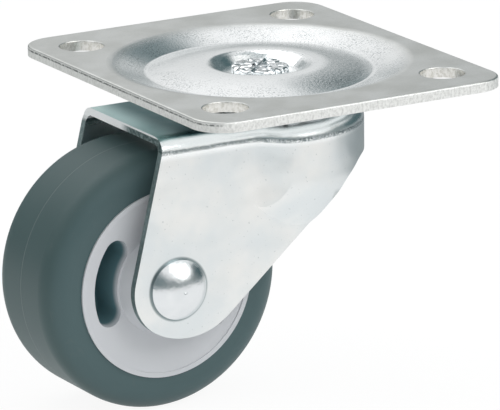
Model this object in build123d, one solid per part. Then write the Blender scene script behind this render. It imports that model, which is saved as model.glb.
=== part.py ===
from build123d import *
from math import asin, atan2, cos, degrees, hypot, pi, radians, sin, sqrt, tan
import os

# Swivel castor with a top plate, in millimetres, +Z up.
# The origin is on the swivel axis at the plate's top face. The wheel trails towards -X, its axle lies along Y.

# Top plate: a pressed sheet with four bolt holes and a ringed dish
PLATE_LENGTH = 65.0
PLATE_WIDTH = 75.0
PLATE_THICKNESS = 2.0
PLATE_CORNER_R = 6.5
PLATE_EDGE_ROLL = 0.45
BOLT_INSET_X = 9.0
BOLT_INSET_Y = 10.0
BOLT_HOLE_D = 8.5
BOLT_HOLE_ROLL = 0.2
DISH_MARGIN = 1.6
DISH_RIM_R = 28.6
DISH_RIM_BEND_R = 4.0
VALLEY_R = 21.7
VALLEY_DEPTH = 2.1
VALLEY_BEND_R = 1.6
RIDGE_R = 14.4
RIDGE_DEPTH = 0.5
RIDGE_BEND_R = 38.0
RECESS_LIP_R = 9.4
RECESS_LIP_BEND_R = 2.6
RECESS_FLOOR_R = 7.2
RECESS_DEPTH = 2.5
RECESS_BEND_R = 0.8

# Swivel bearing: one ring of balls above the fork's crown and one below it
UPPER_BALL_D = 6.35
UPPER_PITCH_R = 12.6
LOWER_BALL_D = 4.0
LOWER_PITCH_R = 7.6
BALL_GAP = 0.12
RACE_CLEARANCE = 0.05
PLATE_TRACK_DEPTH = 0.2
LOWER_RACE_WIDTH = 6.5
LOWER_RACE_THICKNESS = 2.5
LOWER_RACE_LIP = 1.1
LOWER_RACE_EDGE_R = 0.7

# Kingpin: a rivet that carries the lower race and is upset in the plate's recess
KINGPIN_R = 4.0
KINGPIN_NECK_R = 3.4
KINGPIN_HEAD_R = 6.3
KINGPIN_HEAD_HEIGHT = 1.8
KINGPIN_HEAD_EDGE_R = 0.8
UPSET_R = 5.5
UPSET_HEIGHT = 1.5
UPSET_EDGE_R = 0.5
UPSET_PETALS = 8
UPSET_GROOVE_WIDTH = 0.9
UPSET_GROOVE_DEPTH = 0.7
UPSET_SPOT_R = 1.6
UPSET_SPOT_DEPTH = 0.4

# Fork: one drawn sheet with a round crown over the bearing and two flat legs
FORK_SHEET = 1.5
CROWN_GROOVE_DEPTH = 0.75
CROWN_GROOVE_LIP_R = 2.2
CROWN_FLAT = 1.15
SHOULDER_R = 3.2
CROWN_WALL_HEIGHT = 13.5
CROWN_WALL_BEND_R = 9.0
CROWN_TAPER = 30.0
CROWN_FLANK_AT = 105.5
CROWN_FLANK_SLOPE = 41.0
CROWN_FLANK_R = 4.0
CROWN_FLANK_BEND_SHARE = 0.9
CROWN_INNER_LIP_AT = 130.0
CROWN_REAR_DROP = 9.0
CROWN_EDGE_X = 13.2
CROWN_EDGE_DROP = 9.4
CROWN_EDGE_R = 6.0
CROWN_FOOT_X = 8.3
CROWN_FOOT_DROP = 12.5
CROWN_FOOT_R = 8.0
LEG_END_R = 9.3
LEG_FRONT_OVERHANG = 2.8
LEG_FRONT_DROP = 1.9
LEG_SOLE_R = 13.7
LEG_SOLE_FROM = 242.0
LEG_SLOPE = 40.4
LEG_TOP_X = 3.4
LEG_TOP_R = 8.0

# Wheel, with a moulded hub and a soft tread, and its axle
WHEEL_D = 50.0
WHEEL_TRAIL = 27.2
TYRE_CLEARANCE = 2.74
TREAD_WIDTH = 22.0
TREAD_SIDE_GAP = 2.95
TREAD_SHOULDER_R = 4.5
HUB_R = 18.15
HUB_RIM_STAND_OUT = 0.4
HUB_RIM_WIDTH = 0.9
HUB_RIM_STEP = 0.25
HUB_FACE_DISH = 0.8
HUB_BOSS_R = 8.8
HUB_BOSS_FOOT_R = 9.9
HUB_BOSS_PLAY = 0.2
POCKET_COUNT = 2
POCKET_AT = 171.7
POCKET_SPAN = 78.0
POCKET_PITCH_R = 12.75
POCKET_WIDTH = 5.3
POCKET_DRAFT = 8.0
POCKET_FLOOR_R = 0.8
HUB_WEB = 6.0
AXLE_R = 3.5
AXLE_HEAD_R = 5.75
AXLE_HEAD_HEIGHT = 2.8
AXLE_HEAD_LAND = 0.5
AXLE_TAIL_R = 5.4
AXLE_TAIL_HEIGHT = 2.2
SLEEVE_WALL = 1.5
SLEEVE_CLEARANCE = 0.05

# Places that follow from the sizes above
leg_half = TREAD_WIDTH / 2 + TREAD_SIDE_GAP + FORK_SHEET
upper_ball_z = -(RIDGE_DEPTH + PLATE_THICKNESS) + PLATE_TRACK_DEPTH - RACE_CLEARANCE - UPPER_BALL_D / 2
crown_top_z = upper_ball_z - UPPER_BALL_D / 2 - RACE_CLEARANCE + CROWN_GROOVE_DEPTH
upper_groove_r = UPPER_BALL_D / 2 + RACE_CLEARANCE
lower_dome_r = LOWER_BALL_D / 2 + RACE_CLEARANCE + FORK_SHEET
lower_ball_z = upper_ball_z - sqrt((upper_groove_r + lower_dome_r) ** 2 - (UPPER_PITCH_R - LOWER_PITCH_R) ** 2)
race_tilt = degrees(atan2(upper_ball_z - lower_ball_z, UPPER_PITCH_R - LOWER_PITCH_R))
lip_z = crown_top_z - CROWN_GROOVE_LIP_R
lip_tilt = degrees(asin((lip_z - upper_ball_z) / (upper_groove_r + CROWN_GROOVE_LIP_R)))
lip_r = UPPER_PITCH_R + (upper_groove_r + CROWN_GROOVE_LIP_R) * cos(radians(lip_tilt))
crown_disc_r = lip_r + CROWN_FLAT / 2
crown_r = lip_r + CROWN_FLAT + SHOULDER_R
axle_z = crown_top_z - FORK_SHEET - TYRE_CLEARANCE - WHEEL_D / 2
form_front_x = -2 * WHEEL_TRAIL
flank_run = (crown_r * sin(radians(CROWN_FLANK_AT)) - leg_half) / sin(radians(CROWN_FLANK_SLOPE))
flank_turns = [CROWN_FLANK_SLOPE + 90 - CROWN_FLANK_AT, CROWN_FLANK_SLOPE]
flank_limit_r = CROWN_FLANK_BEND_SHARE * flank_run / sum(tan(radians(turn / 2)) for turn in flank_turns)
flank_r = min(CROWN_FLANK_R, flank_limit_r)
sleeve_r = AXLE_R + SLEEVE_WALL
race_bottom_z = lower_ball_z - LOWER_BALL_D / 2 + LOWER_RACE_LIP - LOWER_RACE_THICKNESS
wheel_place = Pos(-WHEEL_TRAIL, 0, axle_z)
near = 0.001


def polar(centre, radius, angle):
    """A point at an angle in degrees round a centre, in the plane of a section."""
    return (centre[0] + radius * cos(radians(angle)), centre[1] + radius * sin(radians(angle)))


def turned(*lines):
    """A closed section in radius and height, turned about the swivel axis."""
    return revolve(Plane.XZ * make_face(list(lines)), Axis.Z)


def turned_on_axle(*lines):
    """A closed section in radius and width, turned about the wheel's axis at the origin."""
    return revolve(make_face(list(lines)), Axis.Y)


def ball_track(pitch_r, height, ball_d):
    """The ring-shaped space that a row of balls runs in."""
    section = Pos(pitch_r, height) * Circle(ball_d / 2 + RACE_CLEARANCE)
    return revolve(Plane.XZ * section, Axis.Z)


def fitted(points, bends):
    """The bends of a line, each limited by the straight runs beside it."""
    runs = [after - before for before, after in zip(points, points[1:])]
    turns = [radians(before.get_angle(after)) for before, after in zip(runs, runs[1:])]
    reach = [0] + [bend * tan(turn / 2) for bend, turn in zip(bends, turns)] + [0]
    shares = [min(1, run.length / (one + other + near)) for run, one, other in zip(runs, reach, reach[1:])]
    return [bend * min(left, right) for bend, left, right in zip(bends, shares, shares[1:])]


def sheet_section(points, bends, thickness):
    """A bent sheet's section: its upper line, and that line moved down by the thickness with bends to match."""
    upper = [Vector(*point) for point in points]
    runs = [(after - before).normalized() for before, after in zip(upper, upper[1:])]
    downs = [Vector(run.Y, -run.X) for run in runs]
    lower = [upper[0] + downs[0] * thickness]
    lower_bends = []
    for corner in range(1, len(upper) - 1):
        before, after = downs[corner - 1], downs[corner]
        lower.append(upper[corner] + (before + after) * (thickness / (1 + before.dot(after))))
        bends_up = runs[corner - 1].cross(runs[corner]).Z > 0
        lower_bends.append(bends[corner - 1] + (thickness if bends_up else -thickness))
    lower.append(upper[-1] + downs[-1] * thickness)
    over = FilletPolyline(*upper, radius=fitted(upper, bends))
    under = FilletPolyline(*lower, radius=fitted(lower, lower_bends))
    return make_face([over, under, Line(over @ 0, under @ 0), Line(over @ 1, under @ 1)])


def dish():
    """The pressed middle of the plate, from the kingpin's hole to the rim."""
    corners = [
        (KINGPIN_NECK_R, -RECESS_DEPTH),
        (RECESS_FLOOR_R, -RECESS_DEPTH),
        (RECESS_LIP_R, -RIDGE_DEPTH),
        (RIDGE_R, -RIDGE_DEPTH),
        (VALLEY_R, -VALLEY_DEPTH),
        (DISH_RIM_R, 0),
        (DISH_RIM_R + DISH_MARGIN, 0),
    ]
    bends = [RECESS_BEND_R, RECESS_LIP_BEND_R, RIDGE_BEND_R, VALLEY_BEND_R, DISH_RIM_BEND_R]
    return revolve(Plane.XZ * sheet_section(corners, bends, PLATE_THICKNESS), Axis.Z)


def top_plate():
    """The mounting plate: flat sheet, ringed dish, rolled edges and bolt holes."""
    flat = extrude(RectangleRounded(PLATE_LENGTH, PLATE_WIDTH, PLATE_CORNER_R), -PLATE_THICKNESS)
    flat = fillet(flat.faces().sort_by(Axis.Z)[-1].edges(), PLATE_EDGE_ROLL)
    spacing_x = PLATE_LENGTH - 2 * BOLT_INSET_X
    spacing_y = PLATE_WIDTH - 2 * BOLT_INSET_Y
    holes = Sketch() + GridLocations(spacing_x, spacing_y, 2, 2) * Circle(BOLT_HOLE_D / 2)
    flat -= extrude(holes, -PLATE_THICKNESS)
    rims = flat.edges().filter_by(GeomType.CIRCLE).group_by(Axis.Z)[-1]
    flat = fillet([rim for rim in rims if abs(rim.radius - BOLT_HOLE_D / 2) < near], BOLT_HOLE_ROLL)
    flat -= extrude(Circle(DISH_RIM_R + DISH_MARGIN), -PLATE_THICKNESS)
    plate = flat + dish()
    return plate - ball_track(UPPER_PITCH_R, upper_ball_z, UPPER_BALL_D)


def kingpin():
    """The rivet on the swivel axis: lower head, shank, neck and a crimped upper end."""
    neck_z = -RECESS_DEPTH - PLATE_THICKNESS
    top_z = UPSET_HEIGHT - RECESS_DEPTH
    outline = Polyline(
        (0, race_bottom_z - KINGPIN_HEAD_HEIGHT),
        (KINGPIN_HEAD_R, race_bottom_z - KINGPIN_HEAD_HEIGHT),
        (KINGPIN_HEAD_R, race_bottom_z),
        (KINGPIN_R, race_bottom_z),
        (KINGPIN_R, neck_z),
        (KINGPIN_NECK_R, neck_z),
        (KINGPIN_NECK_R, -RECESS_DEPTH),
        (UPSET_R, -RECESS_DEPTH),
        (UPSET_R, top_z),
        (0, top_z),
        close=True,
    )
    pin = turned(outline)
    pin = fillet(pin.edges().group_by(Axis.Z)[0], KINGPIN_HEAD_EDGE_R)
    pin = fillet(pin.edges().group_by(Axis.Z)[-1], UPSET_EDGE_R)
    spot = Pos(0, 0, top_z - UPSET_SPOT_DEPTH) * extrude(Circle(UPSET_SPOT_R), UPSET_SPOT_DEPTH)
    return pin - spot - upset_grooves(top_z)


def upset_grooves(top_z):
    """Radial notches that part the crimped end of the kingpin into petals."""
    notch = Polyline(
        (-UPSET_GROOVE_WIDTH / 2, 0),
        (0, -UPSET_GROOVE_DEPTH),
        (UPSET_GROOVE_WIDTH / 2, 0),
        close=True,
    )
    cutter = extrude(Plane.YZ * make_face(notch), UPSET_R)
    start = Pos(UPSET_SPOT_R, 0, top_z)
    return [Rot(0, 0, 360 / UPSET_PETALS * step) * start * cutter for step in range(UPSET_PETALS)]


def lower_race():
    """The ring on the kingpin's head that the lower balls run in."""
    top_z = race_bottom_z + LOWER_RACE_THICKNESS
    ring = extrude(Circle(KINGPIN_R + LOWER_RACE_WIDTH) - Circle(KINGPIN_R), LOWER_RACE_THICKNESS)
    ring = Pos(0, 0, race_bottom_z) * fillet(ring.edges().filter_by(GeomType.CIRCLE).group_by(
        SortBy.RADIUS)[-1], LOWER_RACE_EDGE_R)
    return ring - ball_track(LOWER_PITCH_R, lower_ball_z, LOWER_BALL_D)


def crown_line(depth):
    """The crown's pressed section in radius and height, at a depth below the sheet's upper face."""
    dome = (LOWER_PITCH_R, lower_ball_z)
    groove = (UPPER_PITCH_R, upper_ball_z)
    lip = (lip_r, lip_z)
    dome_r = lower_dome_r - depth
    groove_r = upper_groove_r + depth
    lip_bend_r = CROWN_GROOVE_LIP_R - depth
    over_dome = ThreePointArc(
        polar(dome, dome_r, CROWN_INNER_LIP_AT),
        polar(dome, dome_r, (CROWN_INNER_LIP_AT + race_tilt) / 2),
        polar(dome, dome_r, race_tilt),
    )
    in_groove = ThreePointArc(
        over_dome @ 1,
        polar(groove, groove_r, (race_tilt + 180 + lip_tilt + 360) / 2),
        polar(groove, groove_r, lip_tilt),
    )
    over_lip = ThreePointArc(
        in_groove @ 1,
        polar(lip, lip_bend_r, (lip_tilt + 180 + 90) / 2),
        polar(lip, lip_bend_r, 90),
    )
    flat = Line(over_lip @ 1, (crown_disc_r, crown_top_z - depth))
    return [over_dome, in_groove, over_lip, flat]


def crown_disc():
    """The middle of the crown, pressed into a groove for the upper balls and a dome over the lower ones."""
    upper = crown_line(0)
    lower = crown_line(FORK_SHEET)
    inner_end = Line(upper[0] @ 0, lower[0] @ 0)
    outer_end = Line(upper[-1] @ 1, lower[-1] @ 1)
    return turned(*upper, *lower, inner_end, outer_end)


def fork_plan(inset):
    """The fork seen from above: the round crown, its flanks and the legs, smaller all round by the inset."""
    half = leg_half - inset
    wall_r = crown_r - inset
    along = Vector(cos(radians(CROWN_FLANK_SLOPE)), sin(radians(CROWN_FLANK_SLOPE)))
    start = Vector(*polar((0, 0), crown_r, CROWN_FLANK_AT)) + Vector(along.Y, -along.X) * inset
    low, high = start - along * 2 * crown_r, start + along * 2 * crown_r
    wedge = make_face(Polyline((low.X, low.Y), (high.X, high.Y), (low.X, high.Y), close=True))
    crown = Circle(wall_r) - wedge - mirror(wedge, Plane.XZ)
    length = LEG_TOP_X - form_front_x
    legs = Pos(LEG_TOP_X - length / 2, 0) * Rectangle(length, 2 * half)
    plan = crown + legs
    corners = [point for point in plan.vertices() if abs(hypot(point.X, point.Y) - wall_r) < near]
    plan = fillet(corners, flank_r - inset)
    on_leg = [point for point in plan.vertices() if abs(abs(point.Y) - half) < near]
    valleys = [point for point in on_leg if point.X > form_front_x + near]
    return fillet(valleys, flank_r + inset)


def crown_envelope(inset):
    """The room that the crown's walls stay in: round, and tapered in towards the legs below a bend."""
    wall_r = crown_r - inset
    top_z = crown_top_z - inset
    bend_z = crown_top_z - CROWN_WALL_HEIGHT
    foot_r = wall_r - tan(radians(CROWN_TAPER)) * (bend_z - axle_z)
    side = FilletPolyline(
        (wall_r, top_z),
        (wall_r, bend_z),
        (foot_r, axle_z),
        radius=CROWN_WALL_BEND_R - inset,
    )
    return turned(side, Polyline((foot_r, axle_z), (0, axle_z), (0, top_z), (wall_r, top_z)))


def fork_form(inset):
    """The solid that the fork's sheet is drawn round, smaller all over by the inset."""
    top_z = crown_top_z - inset
    bottom_z = axle_z - 2 * LEG_END_R
    length = LEG_TOP_X - form_front_x
    form = Pos(0, 0, bottom_z) * extrude(fork_plan(inset), top_z - bottom_z)
    rim = [edge for edge in form.edges().group_by(Axis.Z)[-1] if (edge @ 0.5).X > form_front_x + near]
    form = fillet(rim, SHOULDER_R - inset)
    legs = Box(length, 2 * (leg_half - inset), top_z - bottom_z)
    legs = Pos(LEG_TOP_X - length / 2, 0, (top_z + bottom_z) / 2) * legs
    return form & (crown_envelope(inset) + legs)


def fork_outline():
    """The side view that the legs and the crown's skirt are trimmed to."""
    axle = (-WHEEL_TRAIL, axle_z)
    front = (-WHEEL_TRAIL - LEG_FRONT_OVERHANG, crown_top_z - LEG_FRONT_DROP)
    run = hypot(front[0] - axle[0], front[1] - axle[1])
    bearing = degrees(atan2(front[1] - axle[1], front[0] - axle[0]))
    toe_at = bearing + 90 - degrees(asin(LEG_END_R / run))
    toe = polar(axle, LEG_END_R, toe_at)
    middle = polar(axle, LEG_END_R, (toe_at + LEG_SOLE_FROM) / 2)
    end = ThreePointArc(toe, middle, polar(axle, LEG_END_R, LEG_SOLE_FROM))
    sole_centre = polar(axle, LEG_END_R - LEG_SOLE_R, LEG_SOLE_FROM)
    sole_to = LEG_SLOPE + 270
    sole = ThreePointArc(
        end @ 1,
        polar(sole_centre, LEG_SOLE_R, (LEG_SOLE_FROM + sole_to) / 2),
        polar(sole_centre, LEG_SOLE_R, sole_to),
    )
    heel = sole @ 1
    outer_x = crown_r + LEG_END_R
    lower = FilletPolyline(
        heel,
        (LEG_TOP_X, heel.Y + (LEG_TOP_X - heel.X) * tan(radians(LEG_SLOPE))),
        (CROWN_FOOT_X, crown_top_z - CROWN_FOOT_DROP),
        (CROWN_EDGE_X, crown_top_z - CROWN_EDGE_DROP),
        (outer_x, crown_top_z - CROWN_REAR_DROP),
        radius=[LEG_TOP_R, CROWN_FOOT_R, CROWN_EDGE_R],
    )
    upper = Polyline(lower @ 1, (outer_x, 0), (front[0], 0), front, toe)
    return make_face([end, sole, lower, upper])


def fork():
    """The drawn fork: sheet round the form, trimmed in side view, with bearing disc and axle holes."""
    solid = extrude(Plane.XZ * fork_outline(), 2 * crown_r, both=True)
    sheet = (fork_form(0) - fork_form(FORK_SHEET)) & solid
    sheet -= Pos(0, 0, crown_top_z - FORK_SHEET) * extrude(Circle(crown_disc_r), 2 * FORK_SHEET)
    axle_hole = wheel_place * Rot(90, 0, 0) * Cylinder(AXLE_R, 4 * leg_half)
    return sheet + crown_disc() - axle_hole


def dome(radius, height, base_y, outward):
    """A rivet's round head on the face at base_y, along the wheel's axis."""
    land_y = base_y + outward * AXLE_HEAD_LAND
    top_y = base_y + outward * height
    cap = height - AXLE_HEAD_LAND
    ball_r = (radius ** 2 + cap ** 2) / (2 * cap)
    half = asin(radius / ball_r) / 2
    crest = (ball_r * sin(half), top_y - outward * ball_r * (1 - cos(half)))
    arc = ThreePointArc((radius, land_y), crest, (0, top_y))
    return turned_on_axle(arc, Polyline((0, top_y), (0, base_y), (radius, base_y), (radius, land_y)))


def axle_rivet():
    """The wheel's axle: a rivet through both legs with a round head and a closed end."""
    shank = Rot(90, 0, 0) * Cylinder(AXLE_R, 2 * leg_half)
    head = dome(AXLE_HEAD_R, AXLE_HEAD_HEIGHT, -leg_half, -1)
    tail = dome(AXLE_TAIL_R, AXLE_TAIL_HEIGHT, leg_half, 1)
    return wheel_place * (shank + head + tail)


def axle_sleeve():
    """The tube between the legs that the wheel turns on."""
    length = 2 * (leg_half - FORK_SHEET)
    return wheel_place * Rot(90, 0, 0) * (Cylinder(sleeve_r, length) - Cylinder(AXLE_R, length))


def hub_half_section(side):
    """Half of the hub's section, on the side given by the sign."""
    bore = sleeve_r + SLEEVE_CLEARANCE
    rim_y = TREAD_WIDTH / 2 + HUB_RIM_STAND_OUT
    boss_y = leg_half - FORK_SHEET - HUB_BOSS_PLAY
    foot_y = rim_y - HUB_RIM_STEP - HUB_FACE_DISH
    outline = [
        (bore, 0),
        (bore, boss_y),
        (HUB_BOSS_R, boss_y),
        (HUB_BOSS_FOOT_R, foot_y),
        (HUB_R - HUB_RIM_WIDTH, rim_y - HUB_RIM_STEP),
        (HUB_R - HUB_RIM_WIDTH, rim_y),
        (HUB_R, rim_y),
        (HUB_R, 0),
    ]
    return make_face(Polyline(*[(r, side * y) for r, y in outline], close=True))


def pocket():
    """One kidney-shaped pocket, drafted inwards from the hub's face towards its web."""
    depth = TREAD_WIDTH / 2 + HUB_RIM_STAND_OUT - HUB_WEB / 2
    half = POCKET_SPAN / 2 - degrees(asin(POCKET_WIDTH / 2 / POCKET_PITCH_R))
    middle = ThreePointArc(*[polar((0, 0), POCKET_PITCH_R, angle) for angle in (-half, 0, half)])
    plan = SlotArc(middle, POCKET_WIDTH)
    cut = extrude(plan, depth, taper=POCKET_DRAFT)
    return fillet(cut.faces().sort_by(Axis.Z)[-1].edges(), POCKET_FLOOR_R)


def hub():
    """The moulded wheel centre with its bore, boss, rim and pockets on both faces."""
    body = revolve(hub_half_section(1) + hub_half_section(-1), Axis.Y)
    face_y = TREAD_WIDTH / 2 + HUB_RIM_STAND_OUT
    cutter = pocket()
    for step in range(POCKET_COUNT):
        angle = POCKET_AT + 360 / POCKET_COUNT * step
        shown = Pos(0, -face_y, 0) * Rot(-90, 0, 0) * Rot(0, 0, -angle) * cutter
        body -= [shown, mirror(shown, Plane.XZ)]
    return wheel_place * body


def tread():
    """The tyre on the hub, with rounded shoulders."""
    tyre = Rot(90, 0, 0) * (Cylinder(WHEEL_D / 2, TREAD_WIDTH) - Cylinder(HUB_R, TREAD_WIDTH))
    rims = tyre.edges().filter_by(GeomType.CIRCLE).group_by(SortBy.RADIUS)
    tyre = fillet(rims[-1], TREAD_SHOULDER_R)
    return wheel_place * tyre


def balls(name, ball_d, pitch_r, height):
    """One ring of balls, as many as fit with the gap between them."""
    count = int(pi / asin((ball_d + BALL_GAP) / (2 * pitch_r)))
    turns = [Rot(0, 0, 360 / count * step) for step in range(count)]
    return {f"{name}_{step + 1:02d}": turn * Pos(pitch_r, 0, height) * Sphere(ball_d / 2)
            for step, turn in enumerate(turns)}


def pieces():
    """Every piece of the castor by its name."""
    return {
        "top_plate": top_plate(),
        "kingpin": kingpin(),
        "lower_race": lower_race(),
        "fork": fork(),
        "axle_rivet": axle_rivet(),
        "axle_sleeve": axle_sleeve(),
        "hub": hub(),
        "tread": tread(),
        **balls("upper_ball", UPPER_BALL_D, UPPER_PITCH_R, upper_ball_z),
        **balls("lower_ball", LOWER_BALL_D, LOWER_PITCH_R, lower_ball_z),
    }


os.makedirs("parts", exist_ok=True)
for node, shape in pieces().items():
    export_step(shape, f"parts/{node}.step")
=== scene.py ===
import math

import bmesh
import bpy
from mathutils import Matrix, Vector


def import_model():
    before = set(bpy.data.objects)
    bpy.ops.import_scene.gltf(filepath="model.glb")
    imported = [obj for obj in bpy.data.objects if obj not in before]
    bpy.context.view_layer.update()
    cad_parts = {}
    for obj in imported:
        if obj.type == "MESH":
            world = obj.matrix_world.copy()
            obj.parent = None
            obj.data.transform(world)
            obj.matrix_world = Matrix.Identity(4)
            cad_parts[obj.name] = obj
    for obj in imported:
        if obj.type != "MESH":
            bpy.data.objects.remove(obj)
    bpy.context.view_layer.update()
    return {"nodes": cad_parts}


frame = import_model()
MM = 0.001

# Places in the row frame, in millimetres
FLOOR_Z = -62.24
FLOOR_R = 750.0
AXLE_X, AXLE_Z = -27.2, -37.24
TREAD_FACE_R = 24.6
POCKET_MOUTH_Y, POCKET_DEEP_Y = 10.25, 8.6
HOLE_X, HOLE_Y, HOLE_R = 23.5, 27.5, 4.25
DISH_RIM_R = 28.6
RIDGE_SIDE_R, RIDGE_SIDE_HALF = 16.5, 2.5
CRIMP_R, CRIMP_Z = 5.6, -2.2
SHEET = 1.5
LEG_INNER_Y = 13.95
LEG_OUTER_Y = LEG_INNER_Y + SHEET
CROWN_TOP_Z = -8.0
CROWN_INNER_R = 18.2
SHOULDER_Z = -11.2
HEAD_R = 5.75

# Tones of the plate, each pair from its dull end to its bright one
FLAT_ZINC = (0.53, 0.54, 0.52), (0.65, 0.66, 0.65)
FLAT_GRAIN = (0.5, 0.51, 0.5)
DISH_ZINC = (0.88, 0.91, 0.92), (0.96, 0.97, 0.97)
DISH_SPECK = (0.36, 0.42, 0.43)
# Stretched-metal mottle on the ridge's +x side, darkened further there as painted shade
STRETCHED_ZINC_AND_SHADE = (0.44, 0.48, 0.49)
DISH_SPOT = (0.24, 0.29, 0.3)
UNDERSIDE_ZINC = (0.8, 0.84, 0.845), (0.9, 0.92, 0.92)
BORE_ZINC = (0.66, 0.65, 0.6), (0.9, 0.89, 0.86)
SHEARED_ZINC = (0.74, 0.74, 0.72), (0.97, 0.97, 0.95)
SHEARED_SHADE = (0.5, 0.52, 0.5)
# Painted dark shade lines on the left-facing sheared edge of the plate
EDGE_SHADE_LINE = (0.13, 0.14, 0.14)

# Tones of the fork
LEG_ZINC = (0.76, 0.8, 0.81), (0.9, 0.9, 0.88)
LEG_SPECK = (0.45, 0.49, 0.49)
CROWN_SHADE = (0.55, 0.6, 0.62)
# Painted highlight on the fork's bends, fading to painted shade towards the rear
BEND_HIGHLIGHT_TO_SHADE = (0.97, 0.99, 0.99), (0.78, 0.8, 0.82)
# Painted dark reflection line under the fork's bends
DARK_REFLECTION_LINE = (0.15, 0.2, 0.21)
# Painted shadow ring round the axle head
HEAD_SHADOW = (0.1, 0.16, 0.17)
# Painted shade on the fork's inner faces
INSIDE_SHADE = (0.24, 0.48, 0.48)
# Painted shade on the web's top under the plate, turning to painted light towards its front edge
WEB_SHADE_TO_LIGHT = (0.15, 0.28, 0.29), (0.8, 1.0, 0.98)
# Dark fracture band on the web's sheared edge, darkened further as painted shade
CUT_WEB_FRACTURE_AND_SHADE = (0.06, 0.1, 0.1), (0.26, 0.33, 0.33)
# Painted shade on the legs' sheared edges
CUT_LEG_SHADE = (0.2, 0.27, 0.27), (0.27, 0.34, 0.34)
CUT_REAR = (0.5, 0.52, 0.5), (0.86, 0.87, 0.85)
# Painted highlight on the rollover and on the far half of the web's sheared edge
CUT_HIGHLIGHT = (0.9, 0.92, 0.92)

# Tones of the rivets, the bearing and the wheel
RIVET_ZINC = (0.7, 0.73, 0.75), (0.84, 0.86, 0.87)
BALL_STEEL = (0.62, 0.63, 0.65), (0.78, 0.79, 0.8)
HUB_GREY = (0.69, 0.7, 0.73), (0.76, 0.77, 0.8)
# Painted shade down in the wheel's pockets
POCKET_SHADE = (0.15, 0.27, 0.3)
TREAD_FACE = (0.056, 0.102, 0.105), (0.07, 0.12, 0.122)
# Tyre sides painted lighter than the tread face, a painted sheen
TREAD_SIDE_LIT = (0.072, 0.125, 0.132), (0.084, 0.14, 0.147)
SCUFF = (0.13, 0.16, 0.16)
PARTING = (0.2, 0.24, 0.24)

# The studio
WHITE = (1.0, 1.0, 1.0)
AMBIENT, AMBIENT_POWER = (0.97, 1.0, 1.0), 0.52
HORIZON = (0.22, 0.26, 0.265)
OVERHEAD = (0.6, 0.64, 0.65)
FLOOR_WHITE = (0.95, 0.95, 0.95)
FLOOR_BEHIND = (0.26, 0.3, 0.31)
FLOOR_GLOW, FLOOR_GLOW_SHARE = 1.04, 0.88
BEHIND_AZIMUTH = 45
# Parts of the tent that metal mirrors: azimuth, elevation, full and last reach in degrees, share, colour
TENT = (
    (66, 24, 8, 26, 0.75, (0.92, 0.92, 0.92)),
    (10, 22, 21, 39, 1.0, (0.07, 0.12, 0.13)),
    (36, 28, 11, 21, 1.0, (0.14, 0.19, 0.2)),
    (-138, 16, 14, 32, 1.0, (0.2, 0.25, 0.26)),
    (-58, 42, 24, 36, 1.0, (1.2, 1.2, 1.18)),
)
# Lamps: name, azimuth, elevation, size in metres, power in watts
LAMPS = (("key_lamp", -60, 41, 0.56, 1.5), ("top_lamp", 110, 62, 0.7, 1.3))
LAMP_DISTANCE = 0.7
LAMP_AIM = (-5, 0, -30)

# The photograph's camera, solved from the plate, its holes, the axle head and the tyre
CAMERA_RIGHT = (0.86291503, -0.50522676, -0.0111162)
CAMERA_UP = (0.1469795, 0.22986983, 0.96205867)
CAMERA_BACK = (-0.48350251, -0.83180874, 0.27261611)
CAMERA_PLACE = (-489.927, -838.486, 246.458)
LENS, SENSOR_WIDTH = 380.25, 36.0
CLIP_START, CLIP_END = 0.05, 30.0


def axis_vector(azimuth, elevation):
    """The unit vector at an azimuth and an elevation in degrees."""
    az, el = math.radians(azimuth), math.radians(elevation)
    return Vector((math.cos(el) * math.cos(az), math.cos(el) * math.sin(az), math.sin(el)))


class Tree:
    """Writes a shader's nodes with few words. Values are numbers, tuples or sockets."""

    def __init__(self, owner, empty=False):
        owner.use_nodes = True
        self.nodes = owner.node_tree.nodes
        self.links = owner.node_tree.links
        if empty:
            self.nodes.clear()

    def put(self, socket, value):
        """Links a socket or sets its value. A colour may come without its alpha."""
        if isinstance(value, bpy.types.NodeSocket):
            self.links.new(value, socket)
        elif socket.type == "RGBA":
            socket.default_value = (*value, 1.0)
        else:
            socket.default_value = value

    def node(self, kind, inputs=(), output=0, **settings):
        made = self.nodes.new(kind)
        for name, value in settings.items():
            setattr(made, name, value)
        for key, value in dict(inputs).items():
            self.put(made.inputs[key], value)
        return made.outputs[output] if made.outputs else None

    def math(self, operation, *values):
        return self.node("ShaderNodeMath", dict(enumerate(values)), operation=operation)

    def times(self, *values):
        result = values[0]
        for value in values[1:]:
            result = self.math("MULTIPLY", result, value)
        return result

    def most(self, *values):
        """The largest of the values."""
        result = values[0]
        for value in values[1:]:
            result = self.math("MAXIMUM", result, value)
        return result

    def step(self, value, low, high, to_low=0.0, to_high=1.0):
        """A smooth step of the value from low to high."""
        inputs = {"Value": value, "From Min": low, "From Max": high, "To Min": to_low, "To Max": to_high}
        return self.node("ShaderNodeMapRange", inputs, interpolation_type="SMOOTHSTEP")

    def band(self, value, centre, half, soft):
        """One near the centre, nought beyond half plus soft."""
        away = self.math("ABSOLUTE", self.math("SUBTRACT", value, centre))
        return self.step(away, half, half + soft, 1.0, 0.0)

    def mix(self, factor, a, b):
        """A colour between a and b."""
        return self.node("ShaderNodeMix", {0: factor, 6: a, 7: b}, output=2, data_type="RGBA")

    def blend(self, factor, a, b):
        """A number between a and b."""
        return self.node("ShaderNodeMix", {0: factor, 2: a, 3: b}, data_type="FLOAT")

    def split(self, vector):
        """The vector's three parts."""
        made = self.nodes.new("ShaderNodeSeparateXYZ")
        self.put(made.inputs[0], vector)
        return made.outputs

    def along(self, vector, azimuth, elevation):
        """How far the vector reaches in a direction given in degrees."""
        inputs = {0: vector, 1: tuple(axis_vector(azimuth, elevation))}
        return self.node("ShaderNodeVectorMath", inputs, output="Value", operation="DOT_PRODUCT")


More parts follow.
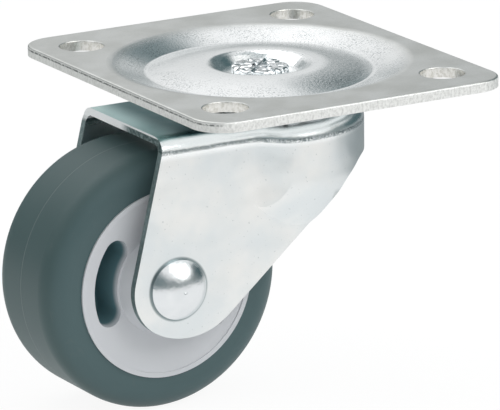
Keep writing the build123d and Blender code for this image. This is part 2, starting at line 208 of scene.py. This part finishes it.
class Surface(Tree):
    """A material on the row's own coordinates in millimetres."""

    def __init__(self, name):
        self.material = bpy.data.materials.new(name)
        super().__init__(self.material)
        self.shader = self.nodes["Principled BSDF"]
        place = self.nodes.new("ShaderNodeTexCoord")
        inputs = {0: place.outputs["Object"], "Scale": 1 / MM}
        self.mm = self.node("ShaderNodeVectorMath", inputs, operation="SCALE")
        self.x, self.y, self.z = self.split(self.mm)
        self.nx, self.ny, self.nz = self.split(place.outputs["Normal"])

    def size(self, value):
        """The value without its sign."""
        return self.math("ABSOLUTE", value)

    def radius(self, a, b, centre_a=0.0, centre_b=0.0):
        """The distance from a line through the two centre values."""
        da = self.math("SUBTRACT", a, centre_a)
        db = self.math("SUBTRACT", b, centre_b)
        return self.math("SQRT", self.math("ADD", self.times(da, da), self.times(db, db)))

    def noise(self, scale, detail=2.0, rough=0.5, stretch=None):
        """Noise with about as many waves to a millimetre as the scale says."""
        vector = self.mm
        if stretch is not None:
            vector = self.node("ShaderNodeVectorMath", {0: vector, 1: stretch}, operation="MULTIPLY")
        inputs = {"Vector": vector, "Scale": scale, "Detail": detail, "Roughness": rough}
        return self.node("ShaderNodeTexNoise", inputs)

    def jitter(self, value, noise, amount):
        """The value, moved up and down by a noise."""
        return self.math("ADD", value, self.times(self.math("SUBTRACT", noise, 0.5), amount))

    def set(self, **values):
        """Sets or links the shader's inputs by their names in small letters."""
        for name, value in values.items():
            self.put(self.shader.inputs[name.replace("_", " ").title().replace("Ior", "IOR")], value)

    def bumps(self, *layers):
        """Chains bump layers, each a height, a strength and a depth in millimetres."""
        normal = None
        for height, strength, depth in layers:
            inputs = {"Height": height, "Strength": strength, "Distance": depth * MM}
            if normal is not None:
                inputs["Normal"] = normal
            normal = self.node("ShaderNodeBump", inputs)
        self.put(self.shader.inputs["Normal"], normal)


def dress(material, *names):
    """Gives CAD nodes their material."""
    for name in names:
        piece = frame["nodes"][name]
        piece.data.materials.clear()
        piece.data.materials.append(material)


def plate_edge_tone(s, streak, grain):
    """The sheared edge round the plate: streaked, with painted shade on its left-facing side and two painted
    dark shade lines there.
    """
    leftward = s.step(s.nx, -0.35, -0.8)
    # Two painted dark shade lines on the left-facing edge: one low on the edge, one at the rim
    lower_shade_line = s.times(s.band(s.z, -0.62, 0.08, 0.14), leftward, s.step(grain, 0.36, 0.55))
    rim_shade_line = s.times(s.band(s.z, -0.12, 0.05, 0.12), leftward, s.step(streak, 0.3, 0.5))
    tone = s.mix(s.step(streak, 0.35, 0.6), *SHEARED_ZINC)
    tone = s.mix(s.times(leftward, 0.3), tone, SHEARED_SHADE)
    return s.mix(s.most(lower_shade_line, rim_shade_line), tone, EDGE_SHADE_LINE)


def plate_steel():
    """Zinc on the pressed plate: satin flat border, brighter drawn dish, sheared edges."""
    s = Surface("zinc_plate")
    blotch = s.noise(0.11, 3.0)
    grain = s.noise(2.2, 3.0, 0.6)
    fine = s.noise(6.0)
    streak = s.noise(1.6, 4.0, 0.75, stretch=(1.3, 1.3, 0.8))

    from_axis = s.radius(s.x, s.y)
    from_hole = s.radius(s.size(s.x), s.size(s.y), HOLE_X, HOLE_Y)
    upright = s.step(s.size(s.nz), 0.75, 0.45)
    side = s.times(upright, s.step(from_hole, HOLE_R + 0.4, HOLE_R + 0.8))
    bore = s.times(upright, s.step(from_hole, HOLE_R + 0.8, HOLE_R + 0.4))
    below = s.step(s.nz, -0.2, -0.5)
    dish = s.step(from_axis, DISH_RIM_R - 3.1, DISH_RIM_R + 0.9, 1.0, 0.0)
    slope = s.times(dish, s.step(s.nz, 0.999, 0.975))
    ridge_side = s.band(from_axis, RIDGE_SIDE_R, RIDGE_SIDE_HALF, RIDGE_SIDE_HALF)
    # Ridge side on its +x half only: stretched metal, with a darker tone there that is painted shade
    stretched_and_shaded = s.times(ridge_side, s.step(s.x, -6.0, 6.0))

    flat_tone = s.mix(s.step(blotch, 0.3, 0.7), *FLAT_ZINC)
    flat_tone = s.mix(s.times(s.step(fine, 0.4, 0.62), 0.3), flat_tone, FLAT_GRAIN)
    tone = s.mix(dish, flat_tone, s.mix(blotch, *DISH_ZINC))
    tone = s.mix(s.times(s.step(grain, 0.56, 0.72), 0.3), tone, DISH_SPECK)
    # Darker mottled tone there: stretched-metal mottle and painted shade
    tone = s.mix(s.times(stretched_and_shaded, 0.6), tone, STRETCHED_ZINC_AND_SHADE)
    mottle = s.step(s.noise(2.8, 4.0, 0.7), 0.5, 0.64)
    drawn_thin = s.times(slope, s.step(s.noise(0.13), 0.36, 0.56))
    spots = s.times(mottle, s.most(s.times(drawn_thin, 0.7), s.times(stretched_and_shaded, 0.9)))
    tone = s.mix(spots, tone, DISH_SPOT)
    tone = s.mix(below, tone, s.mix(blotch, *UNDERSIDE_ZINC))
    tone = s.mix(bore, tone, s.mix(s.step(streak, 0.35, 0.6), *BORE_ZINC))
    s.set(base_color=s.mix(side, tone, plate_edge_tone(s, streak, grain)))
    s.set(metallic=s.blend(bore, s.blend(side, 1.0, 0.55), 0.8))

    rough = s.blend(dish, s.blend(blotch, 0.36, 0.46), s.blend(blotch, 0.13, 0.2))
    rough = s.jitter(s.blend(below, rough, 0.22), grain, 0.15)
    s.set(roughness=s.blend(bore, s.blend(side, rough, 0.55), 0.34))
    s.bumps(
        (grain, s.blend(stretched_and_shaded, s.blend(slope, 0.1, 0.18), 0.62), 0.1),
        (fine, 0.25, 0.015),
        (streak, s.times(side, 0.4), 0.1),
    )
    return s.material


def fork_cut(s, ragged):
    """Where the fork's sheet is sheared, and its tone there: painted shade on the legs' edges and the web's
    near half, painted highlights on the rollover and the web's far half.
    """
    leg_edge = s.times(
        s.step(s.size(s.ny), 0.45, 0.2),
        s.step(s.size(s.y), LEG_INNER_Y - 0.15, LEG_INNER_Y),
        s.step(s.z, SHOULDER_Z - 1.0, SHOULDER_Z - 1.4),
    )
    front = s.times(s.step(s.nx, -0.6, -0.85), s.step(s.x, -24.0, -25.0))
    rear = s.times(
        s.step(s.nz, -0.3, -0.55),
        s.step(s.x, 5.0, 6.0),
        s.step(s.radius(s.x, s.y), CROWN_INNER_R - 0.2, CROWN_INNER_R),
    )
    worn = s.step(ragged, 0.42, 0.62)
    on_leg = s.step(s.z, SHOULDER_Z + 0.6, SHOULDER_Z)
    # Painted highlights: the far half of the web's edge, and the rollover along its top
    far_end_highlight = s.times(s.step(s.y, -3.0, 1.0), s.step(s.z, SHOULDER_Z, SHOULDER_Z + 1.0))
    rollover_highlight = s.times(front, s.step(s.z, CROWN_TOP_Z - 0.45, CROWN_TOP_Z - 0.3))
    # Painted shade on the legs' cut edges; on the web a dark fracture band with painted shade
    tone = s.mix(on_leg, s.mix(worn, *CUT_WEB_FRACTURE_AND_SHADE), s.mix(worn, *CUT_LEG_SHADE))
    tone = s.mix(s.most(far_end_highlight, rollover_highlight), tone, CUT_HIGHLIGHT)
    tone = s.mix(rear, tone, s.mix(worn, *CUT_REAR))
    return s.most(leg_edge, front, rear), tone


def fork_outside_tone(s, blotch, drawn):
    """The fork's outer faces: specked legs, painted shade on the crown's rear, painted highlight on the bends
    with a painted dark reflection line under them.
    """
    speck = s.step(s.noise(2.0, 1.0), 0.7, 0.76)
    tone = s.mix(s.step(blotch, 0.3, 0.7), *LEG_ZINC)
    tone = s.mix(s.times(speck, 0.5), tone, LEG_SPECK)
    tone = s.mix(s.step(s.x, -2.0, 10.0, 0.0, 0.5), tone, CROWN_SHADE)
    # Painted highlight on the bends, fading to painted shade towards the rear
    tone = s.mix(drawn, tone, s.mix(s.step(s.x, 8.0, 16.0), *BEND_HIGHLIGHT_TO_SHADE))
    # A painted dark reflection line just under the bends, broken up by noise
    on_crown = s.step(s.x, -16.0, -6.0)
    line_z = s.blend(on_crown, SHOULDER_Z + 0.5, SHOULDER_Z + 0.1)
    reflection_breakup = s.times(s.step(s.noise(4.0, 3.0, 0.7), 0.38, 0.56), s.blend(on_crown, 0.5, 0.9))
    return s.mix(s.times(s.band(s.z, line_z, 0.18, 0.42), reflection_breakup), tone, DARK_REFLECTION_LINE)


def fork_steel():
    """Zinc on the drawn fork: pale satin legs, textured bends, painted shade inside, painted shade and light
    on the web, sheared edges.
    """
    s = Surface("zinc_fork")
    blotch = s.noise(0.09, 3.0)
    grain = s.noise(2.4, 3.0, 0.6)
    fine = s.noise(6.0)
    ragged = s.noise(1.3, 3.0, 0.7)
    wave = s.noise(0.16, 1.0)

    drawn = s.times(
        s.step(s.z, SHOULDER_Z - 1.4, SHOULDER_Z),
        s.step(s.z, CROWN_TOP_Z - 0.05, CROWN_TOP_Z - 0.3),
    )
    # Inner faces of the legs and crown, which get painted shade
    inside = s.times(
        s.step(s.size(s.y), LEG_INNER_Y + 0.12, LEG_INNER_Y),
        s.step(s.radius(s.x, s.y), CROWN_INNER_R + 0.15, CROWN_INNER_R),
        s.step(s.z, CROWN_TOP_Z - 0.4, CROWN_TOP_Z - 0.8),
    )
    web = s.times(s.step(s.nz, 0.7, 0.95), s.step(s.x, -12.0, -18.0))
    # Painted shadow ring on the leg's outer face round the axle head
    head_shadow_ring = s.times(
        s.band(s.radius(s.x, s.z, AXLE_X, AXLE_Z), HEAD_R + 0.1, 0.1, 0.5),
        s.step(s.size(s.y), LEG_OUTER_Y - 0.3, LEG_OUTER_Y - 0.1),
    )
    cut, cut_tone = fork_cut(s, ragged)

    tone = fork_outside_tone(s, blotch, drawn)
    tone = s.mix(s.times(head_shadow_ring, 0.75), tone, HEAD_SHADOW)
    tone = s.mix(inside, tone, INSIDE_SHADE)
    # Painted shade on the web under the plate, painted lighter towards its front edge
    tone = s.mix(web, tone, s.mix(s.step(s.x, -23.0, -29.0), *WEB_SHADE_TO_LIGHT))
    s.set(base_color=s.mix(cut, tone, cut_tone))
    s.set(metallic=s.blend(cut, 1.0, 0.7))

    rough = s.jitter(s.blend(blotch, 0.3, 0.4), grain, 0.12)
    rough = s.blend(drawn, rough, s.blend(blotch, 0.2, 0.28))
    s.set(roughness=s.blend(cut, rough, 0.5))
    s.bumps(
        (wave, 0.6, 0.45),
        (grain, s.blend(drawn, 0.05, 0.2), 0.09),
        (fine, 0.2, 0.015),
        (ragged, s.times(cut, 0.7), 0.15),
    )
    return s.material


def rivet_steel():
    """Bright zinc on the rivets and the sleeve, with the kingpin's crimped end crushed into facets."""
    s = Surface("zinc_rivet")
    blotch = s.noise(0.35, 3.0)
    grain = s.noise(2.0, 3.0, 0.6)
    cells = s.node("ShaderNodeTexVoronoi", {"Vector": s.mm, "Scale": 0.75}, feature="SMOOTH_F1")
    crushed = s.times(s.step(s.z, CRIMP_Z - 0.8, CRIMP_Z), s.step(s.radius(s.x, s.y), CRIMP_R + 0.6, CRIMP_R))
    s.set(base_color=s.mix(blotch, *RIVET_ZINC))
    s.set(metallic=1.0)
    s.set(roughness=s.jitter(s.blend(blotch, 0.16, 0.26), grain, 0.2))
    s.bumps((cells, crushed, 0.9), (grain, 0.5, 0.06), (blotch, 0.25, 0.1))
    return s.material


def ball_steel():
    """Ground steel of the balls and the race, under a film of grease."""
    s = Surface("ground_steel")
    smear = s.noise(0.5)
    s.set(base_color=s.mix(smear, *BALL_STEEL))
    s.set(metallic=1.0)
    s.set(roughness=s.blend(smear, 0.08, 0.22))
    s.bumps((smear, 0.1, 0.02))
    return s.material


def hub_plastic():
    """Moulded grey plastic of the wheel's centre, with painted shade down in its pockets."""
    s = Surface("hub_plastic")
    cloud = s.noise(0.12)
    grain = s.noise(5.0)
    # Painted shade deep in the pockets
    pocket_shade_mask = s.step(s.size(s.y), POCKET_MOUTH_Y, POCKET_DEEP_Y)
    s.set(base_color=s.mix(pocket_shade_mask, s.mix(cloud, *HUB_GREY), POCKET_SHADE))
    s.set(roughness=s.blend(cloud, 0.36, 0.44))
    s.set(specular_ior_level=s.blend(pocket_shade_mask, 0.5, 0.15))
    s.bumps((grain, 0.12, 0.02))
    return s.material


def tread_rubber():
    """Smooth matt tyre with a parting line and faint scuffs."""
    s = Surface("tread_rubber")
    cloud = s.noise(0.1, 3.0)
    grain = s.noise(4.0, 3.0, 0.6)
    scuff = s.noise(0.5, 4.0, 0.65, stretch=(0.5, 2.4, 0.5))
    scuff = s.times(s.step(scuff, 0.56, 0.74), s.step(cloud, 0.4, 0.6))
    outer = s.step(s.radius(s.x, s.z, AXLE_X, AXLE_Z), TREAD_FACE_R, TREAD_FACE_R + 0.3)
    parting = s.times(outer, s.band(s.y, 0.1, 0.06, 0.1))
    facing_side = s.step(s.size(s.ny), 0.5, 0.9)
    # Sides lighter than the tread face as painted sheen
    tone = s.mix(facing_side, s.mix(cloud, *TREAD_FACE), s.mix(cloud, *TREAD_SIDE_LIT))
    tone = s.mix(s.times(scuff, 0.25), tone, SCUFF)
    s.set(base_color=s.mix(s.times(parting, 0.5), tone, PARTING))
    s.set(roughness=s.math("ADD", s.blend(cloud, 0.44, 0.54), s.times(scuff, 0.08)))
    s.set(specular_ior_level=0.42)
    s.bumps((grain, 0.12, 0.02), (scuff, 0.15, 0.03), (parting, 0.5, 0.08))
    return s.material


def world():
    """White to the eye, an even soft light, and for metal a pale tent with darker gaps near the horizon."""
    made = bpy.data.worlds.new("studio")
    bpy.context.scene.world = made
    w = Tree(made, empty=True)
    way = w.nodes.new("ShaderNodeTexCoord").outputs["Generated"]
    up = w.split(way)[2]
    sky = w.mix(w.step(up, 0.2, 0.6), HORIZON, WHITE)
    sky = w.mix(w.step(up, 0.8, 0.96), sky, OVERHEAD)
    for azimuth, elevation, full, last, share, colour in TENT:
        near, far = math.cos(math.radians(full)), math.cos(math.radians(last))
        lobe = w.step(w.along(way, azimuth, elevation), far, near)
        sky = w.mix(w.times(lobe, share), sky, colour)
    rays = w.nodes.new("ShaderNodeLightPath").outputs
    seen = w.node("ShaderNodeBackground", {"Color": WHITE})
    glossy = w.node("ShaderNodeBackground", {"Color": sky})
    ambient = w.node("ShaderNodeBackground", {"Color": AMBIENT, "Strength": AMBIENT_POWER})
    lit = w.node("ShaderNodeMixShader", {0: rays["Is Glossy Ray"], 1: ambient, 2: glossy})
    clear = w.most(rays["Is Camera Ray"], rays["Is Transmission Ray"])
    w.node("ShaderNodeOutputWorld", {"Surface": w.node("ShaderNodeMixShader", {0: clear, 1: lit, 2: seen})})


def lamp(name, azimuth, elevation, size, power):
    """A round soft lamp turned to the middle of the castor."""
    data = bpy.data.lights.new(name, "AREA")
    data.shape = "DISK"
    data.size = size
    data.energy = power
    thing = bpy.data.objects.new(name, data)
    middle = Vector(LAMP_AIM) * MM
    thing.location = middle + axis_vector(azimuth, elevation) * LAMP_DISTANCE
    thing.rotation_euler = (thing.location - middle).to_track_quat("Z", "Y").to_euler()
    bpy.context.collection.objects.link(thing)


def pale_floor():
    """White to the eye and to metal, with the castor's own shadow, and darker to metal behind the castor."""
    made = bpy.data.materials.new("pale_floor")
    g = Tree(made, empty=True)
    rays = g.nodes.new("ShaderNodeLightPath").outputs
    spread = g.node("ShaderNodeBsdfDiffuse", {"Color": FLOOR_WHITE})
    place = g.nodes.new("ShaderNodeNewGeometry").outputs["Position"]
    behind = g.step(g.along(place, BEHIND_AZIMUTH, 0), 0.04, 0.14)
    colour = g.mix(g.times(behind, rays["Is Glossy Ray"]), WHITE, FLOOR_BEHIND)
    glow = g.node("ShaderNodeEmission", {"Color": colour, "Strength": FLOOR_GLOW})
    shown = g.most(rays["Is Camera Ray"], rays["Is Glossy Ray"], rays["Is Transmission Ray"])
    mixed = g.node("ShaderNodeMixShader", {0: g.times(shown, FLOOR_GLOW_SHARE), 1: spread, 2: glow})
    g.node("ShaderNodeOutputMaterial", {"Surface": mixed})
    return made


def floor():
    """A wide round floor that the wheel stands on."""
    mesh = bpy.data.meshes.new("floor")
    disc = bmesh.new()
    place = Matrix.Translation((0, 0, FLOOR_Z * MM))
    bmesh.ops.create_circle(disc, cap_ends=True, segments=96, radius=FLOOR_R * MM, matrix=place)
    disc.to_mesh(mesh)
    disc.free()
    mesh.materials.append(pale_floor())
    thing = bpy.data.objects.new("floor", mesh)
    bpy.context.collection.objects.link(thing)


def camera():
    """The photograph's camera."""
    data = bpy.data.cameras.new("camera")
    data.sensor_width = SENSOR_WIDTH
    data.lens = LENS
    data.clip_start = CLIP_START
    data.clip_end = CLIP_END
    thing = bpy.data.objects.new("camera", data)
    turn = Matrix((CAMERA_RIGHT, CAMERA_UP, CAMERA_BACK)).transposed().to_4x4()
    thing.matrix_world = Matrix.Translation(Vector(CAMERA_PLACE) * MM) @ turn
    bpy.context.collection.objects.link(thing)
    bpy.context.scene.camera = thing


bpy.context.scene.view_settings.view_transform = "Standard"
camera()
world()
for values in LAMPS:
    lamp(*values)
floor()
balls = [name for name in frame["nodes"] if "_ball_" in name]
dress(plate_steel(), "top_plate")
dress(fork_steel(), "fork")
dress(rivet_steel(), "kingpin", "axle_rivet", "axle_sleeve")
dress(ball_steel(), "lower_race", *balls)
dress(hub_plastic(), "hub")
dress(tread_rubber(), "tread")
